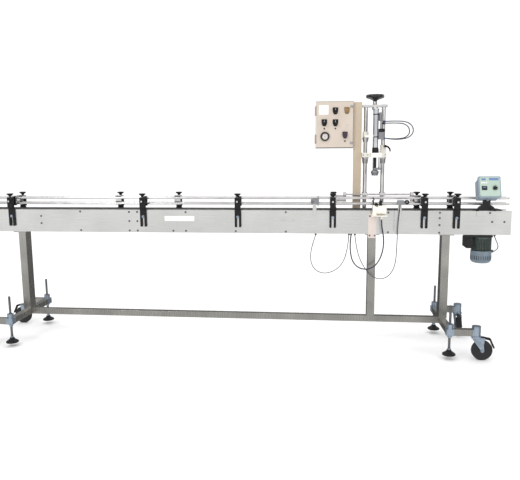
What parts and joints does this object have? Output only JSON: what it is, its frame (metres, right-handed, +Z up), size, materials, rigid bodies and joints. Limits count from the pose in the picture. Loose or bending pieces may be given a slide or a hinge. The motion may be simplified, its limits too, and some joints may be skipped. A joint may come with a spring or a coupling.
{
  "type": "bottle capping conveyor",
  "caption": "Slat-chain bottle conveyor on a caster frame, with guide rails, a pneumatic screw-capping head on columns and a control box on a post.",
  "frame": {"origin": "on the floor under the middle of the conveyor", "axes": "+X along the belt towards the drive end, +Y to the rear (control box side), +Z up"},
  "size_m": [3.6, 0.6038, 1.626],
  "materials": {
    "stainless": "brushed along the rail",
    "bright_bolts": "bright",
    "strip_plastic": "matte",
    "slat_steel": "brushed",
    "bright_steel": "turned",
    "bearing_iron": "painted",
    "rod_steel": "polished",
    "black_nylon": "moulded",
    "frame_steel": "brushed",
    "galvanised": "zinc plated",
    "foot_black": "moulded pads on plated screws",
    "black_paint": "satin",
    "motor_paint": "satin",
    "beige_paint": "fine textured",
    "pale_plate": "satin",
    "fitting_trim": "satin",
    "column_steel": "ground",
    "wheel_black": "glossy",
    "cream_paint": "satin",
    "cylinder_alu": "anodised",
    "valve_grey": "satin",
    "ram_black": "satin",
    "chuck_grey": "satin",
    "pad_steel": "turned",
    "sensor_body": "moulded",
    "pale_green": "satin",
    "rocker_red": "glossy",
    "purple_knob": "glossy",
    "cord_grey": "smooth",
    "hose_blue": "smooth",
    "caster_rubber": "moulded",
    "pedal_black": "moulded"
  },
  "bodies": {
    "machine": {"base_clamps": "galvanised", "base_frame": "frame_steel", "chain_bed": "strip_plastic", "clamp_cylinder": "cream_paint", "column_frame": "column_steel", "control_box": "beige_paint", "front_rail": "stainless", "gearbox": "black_paint", "guide_brackets": "black_nylon", "left_sensor_cable": "cord_grey", "mast": "beige_paint", "motor": "motor_paint", "motor_conduit": "cord_grey", "photo_sensors": "sensor_body", "rail_bolts": "bright_bolts", "rail_plates": "pale_plate", "rear_rail": "stainless", "right_sensor_cable": "cord_grey", "shaft_bearings": "bearing_iron", "slat_chain": "slat_steel", "speed_box": "pale_green", "speed_bracket": "black_paint", "station_hose": "hose_blue", "third_guide_rod": "rod_steel"},
    "drive_shaft": {"drive_shaft": "bright_steel"},
    "tail_shaft": {"tail_shaft": "bright_steel"},
    "front_guide": {"front_guide_rails": "rod_steel"},
    "rear_guide": {"rear_guide_rails": "rod_steel"},
    "head": {"crosshead": "cream_paint", "head_cylinder": "cylinder_alu", "valve_block": "valve_grey", "head_hose_upper": "hose_blue", "head_hose_lower": "hose_blue"},
    "hand_drive": {"handwheel": "wheel_black", "lead_screw": "bright_steel"},
    "spindle": {"ram": "ram_black"},
    "chuck_body": {"chuck": "chuck_grey"},
    "head_lock": {"clamp_lever": "black_nylon"},
    "pusher": {"clamp_pad": "pad_steel"},
    "door": {"box_door": "beige_paint", "door_fittings": "fitting_trim"},
    "switch_upper": {"selector_upper": "black_nylon"},
    "switch_left": {"selector_left": "black_nylon"},
    "switch_right": {"selector_right": "black_nylon"},
    "regulator": {"regulator_knob": "purple_knob"},
    "dial": {"speed_dial": "black_nylon"},
    "rocker": {"power_rocker": "rocker_red"},
    "feet": {"levelling_feet": "foot_black"},
    "front_left_swivel": {"front_left_fork": "galvanised"},
    "front_left_roller": {"front_left_wheel": "caster_rubber"},
    "front_left_brake": {"front_left_pedal": "pedal_black"},
    "front_right_swivel": {"front_right_fork": "galvanised"},
    "front_right_roller": {"front_right_wheel": "caster_rubber"},
    "front_right_brake": {"front_right_pedal": "pedal_black"},
    "rear_left_swivel": {"rear_left_fork": "galvanised"},
    "rear_left_roller": {"rear_left_wheel": "caster_rubber"},
    "rear_left_brake": {"rear_left_pedal": "pedal_black"},
    "rear_right_swivel": {"rear_right_fork": "galvanised"},
    "rear_right_roller": {"rear_right_wheel": "caster_rubber"},
    "rear_right_brake": {"rear_right_pedal": "pedal_black"}
  },
  "joints": [
    {"name": "drive_turn", "type": "hinge", "parent": "machine", "child": "drive_shaft", "pos_m": [1.722, 0, 0.832], "axis": [0, 1, 0], "continuous": true},
    {"name": "tail_turn", "type": "hinge", "parent": "machine", "child": "tail_shaft", "pos_m": [-1.722, 0, 0.832], "axis": [0, 1, 0], "continuous": true},
    {"name": "front_guide_set", "type": "slide", "parent": "machine", "child": "front_guide", "axis": [0, -1, 0], "range_m": [-0.008, 0.02]},
    {"name": "rear_guide_set", "type": "slide", "parent": "machine", "child": "rear_guide", "axis": [0, 1, 0], "range_m": [-0.008, 0.02]},
    {"name": "head_lift", "type": "slide", "parent": "machine", "child": "head", "axis": [0, 0, 1], "range_m": [-0.06, 0.14]},
    {"name": "hand_turn", "type": "hinge", "parent": "machine", "child": "hand_drive", "pos_m": [0.964, 0.095, 1.6], "axis": [0, 0, 1], "range_deg": [-1090, 2530]},
    {"name": "ram_stroke", "type": "slide", "parent": "head", "child": "spindle", "axis": [0, 0, 1], "range_m": [-0.05, 0]},
    {"name": "chuck_spin", "type": "hinge", "parent": "spindle", "child": "chuck_body", "pos_m": [0.964, 0, 1.13], "axis": [0, 0, 1], "continuous": true},
    {"name": "lock_turn", "type": "hinge", "parent": "head", "child": "head_lock", "pos_m": [1.03, 0.07, 1.298], "axis": [0, 1, 0], "range_deg": [-60, 60]},
    {"name": "pusher_stroke", "type": "slide", "parent": "machine", "child": "pusher", "axis": [0, 1, 0], "range_m": [0, 0.045]},
    {"name": "door_swing", "type": "hinge", "parent": "machine", "child": "door", "pos_m": [0.583, 0.053, 1.435], "axis": [0, 0, -1], "range_deg": [0, 110]},
    {"name": "switch_upper_turn", "type": "hinge", "parent": "door", "child": "switch_upper", "pos_m": [0.711, 0.04, 1.524], "axis": [0, 1, 0], "range_deg": [-45, 45]},
    {"name": "switch_left_turn", "type": "hinge", "parent": "door", "child": "switch_left", "pos_m": [0.641, 0.04, 1.45], "axis": [0, 1, 0], "range_deg": [-45, 45]},
    {"name": "switch_right_turn", "type": "hinge", "parent": "door", "child": "switch_right", "pos_m": [0.712, 0.04, 1.449], "axis": [0, 1, 0], "range_deg": [-45, 45]},
    {"name": "regulator_turn", "type": "hinge", "parent": "door", "child": "regulator", "pos_m": [0.774, 0.04, 1.371], "axis": [0, 1, 0], "range_deg": [-150, 150]},
    {"name": "dial_turn", "type": "hinge", "parent": "machine", "child": "dial", "pos_m": [1.67, -0.14722, 1.04215], "axis": [0, 0.9336, -0.3584], "range_deg": [-140, 140]},
    {"name": "rocker_tip", "type": "hinge", "parent": "machine", "child": "rocker", "pos_m": [1.608, -0.14348, 1.04071], "axis": [1, 0, 0], "range_deg": [-8, 8]},
    {"name": "feet_level", "type": "slide", "parent": "machine", "child": "feet", "axis": [0, 0, 1], "range_m": [-0.024, 0]},
    {"name": "front_left_swivel_turn", "type": "hinge", "parent": "machine", "child": "front_left_swivel", "pos_m": [-1.572, -0.262, 0.18], "axis": [0, 0, 1], "continuous": true},
    {"name": "front_left_wheel_turn", "type": "hinge", "parent": "front_left_swivel", "child": "front_left_roller", "pos_m": [-1.609, -0.262, 0.0625], "axis": [0, -1, 0], "continuous": true},
    {"name": "front_left_pedal_turn", "type": "hinge", "parent": "front_left_swivel", "child": "front_left_brake", "pos_m": [-1.613, -0.262, 0.139], "axis": [0, 1, 0], "range_deg": [0, 12]},
    {"name": "front_right_swivel_turn", "type": "hinge", "parent": "machine", "child": "front_right_swivel", "pos_m": [1.572, -0.262, 0.18], "axis": [0, 0, 1], "continuous": true},
    {"name": "front_right_wheel_turn", "type": "hinge", "parent": "front_right_swivel", "child": "front_right_roller", "pos_m": [1.609, -0.262, 0.0625], "axis": [0, 1, 0], "continuous": true},
    {"name": "front_right_pedal_turn", "type": "hinge", "parent": "front_right_swivel", "child": "front_right_brake", "pos_m": [1.613, -0.262, 0.139], "axis": [0, -1, 0], "range_deg": [0, 12]},
    {"name": "rear_left_swivel_turn", "type": "hinge", "parent": "machine", "child": "rear_left_swivel", "pos_m": [-1.572, 0.262, 0.18], "axis": [0, 0, 1], "continuous": true},
    {"name": "rear_left_wheel_turn", "type": "hinge", "parent": "rear_left_swivel", "child": "rear_left_roller", "pos_m": [-1.609, 0.262, 0.0625], "axis": [0, -1, 0], "continuous": true},
    {"name": "rear_left_pedal_turn", "type": "hinge", "parent": "rear_left_swivel", "child": "rear_left_brake", "pos_m": [-1.613, 0.262, 0.139], "axis": [0, 1, 0], "range_deg": [0, 12]},
    {"name": "rear_right_swivel_turn", "type": "hinge", "parent": "machine", "child": "rear_right_swivel", "pos_m": [1.572, 0.262, 0.18], "axis": [0, 0, 1], "continuous": true},
    {"name": "rear_right_wheel_turn", "type": "hinge", "parent": "rear_right_swivel", "child": "rear_right_roller", "pos_m": [1.572, 0.225, 0.0625], "axis": [1, 0, 0], "continuous": true},
    {"name": "rear_right_pedal_turn", "type": "hinge", "parent": "rear_right_swivel", "child": "rear_right_brake", "pos_m": [1.572, 0.221, 0.139], "axis": [-1, 0, 0], "range_deg": [0, 12]}
  ],
  "couplings": [
    {"joint": "tail_turn", "follows": "drive_turn", "ratio": 1},
    {"joint": "hand_turn", "follows": "head_lift", "rad_per_m": 314.16}
  ]
}
